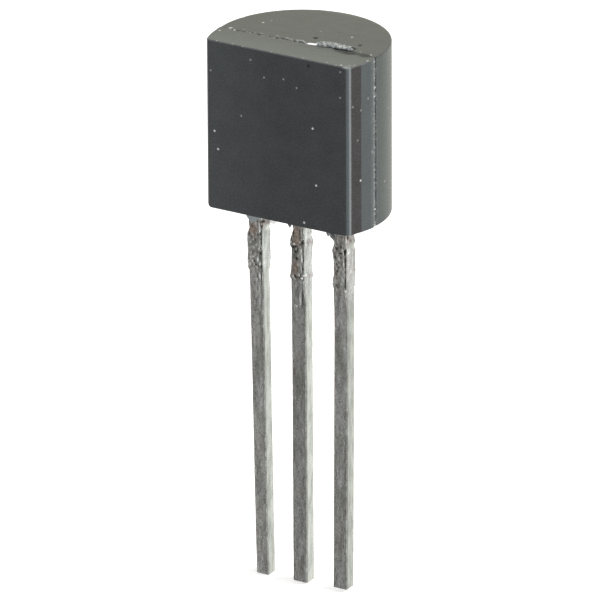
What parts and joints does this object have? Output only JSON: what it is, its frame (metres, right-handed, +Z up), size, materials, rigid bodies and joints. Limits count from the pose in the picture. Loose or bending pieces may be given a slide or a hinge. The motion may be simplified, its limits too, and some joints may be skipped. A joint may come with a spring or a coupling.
{
  "type": "to-92 transistor",
  "caption": "Small through-hole transistor: half-round moulded body with a flat front and straight tinned leads.",
  "frame": {"origin": "middle of the lead row, in the plane of the body's underside", "axes": "+Z up out of the body's top, leads pointing down; +Y towards the round back, so the flat front faces -Y; X along the lead row"},
  "size_m": [0.0046, 0.0034, 0.0148],
  "materials": {
    "moulding": "satin moulded epoxy",
    "tinned_lead": "dull tin over copper strip",
    "silicon": "polished silicon",
    "solder": "dull solder",
    "gold_wire": "drawn gold wire"
  },
  "bodies": {
    "root": {"moulded_body": "moulding", "left_lead": "tinned_lead", "middle_lead": "tinned_lead", "right_lead": "tinned_lead", "silicon_chip": "silicon", "chip_solder": "solder", "left_bond_wire": "gold_wire", "right_bond_wire": "gold_wire"}
  },
  "joints": []
}
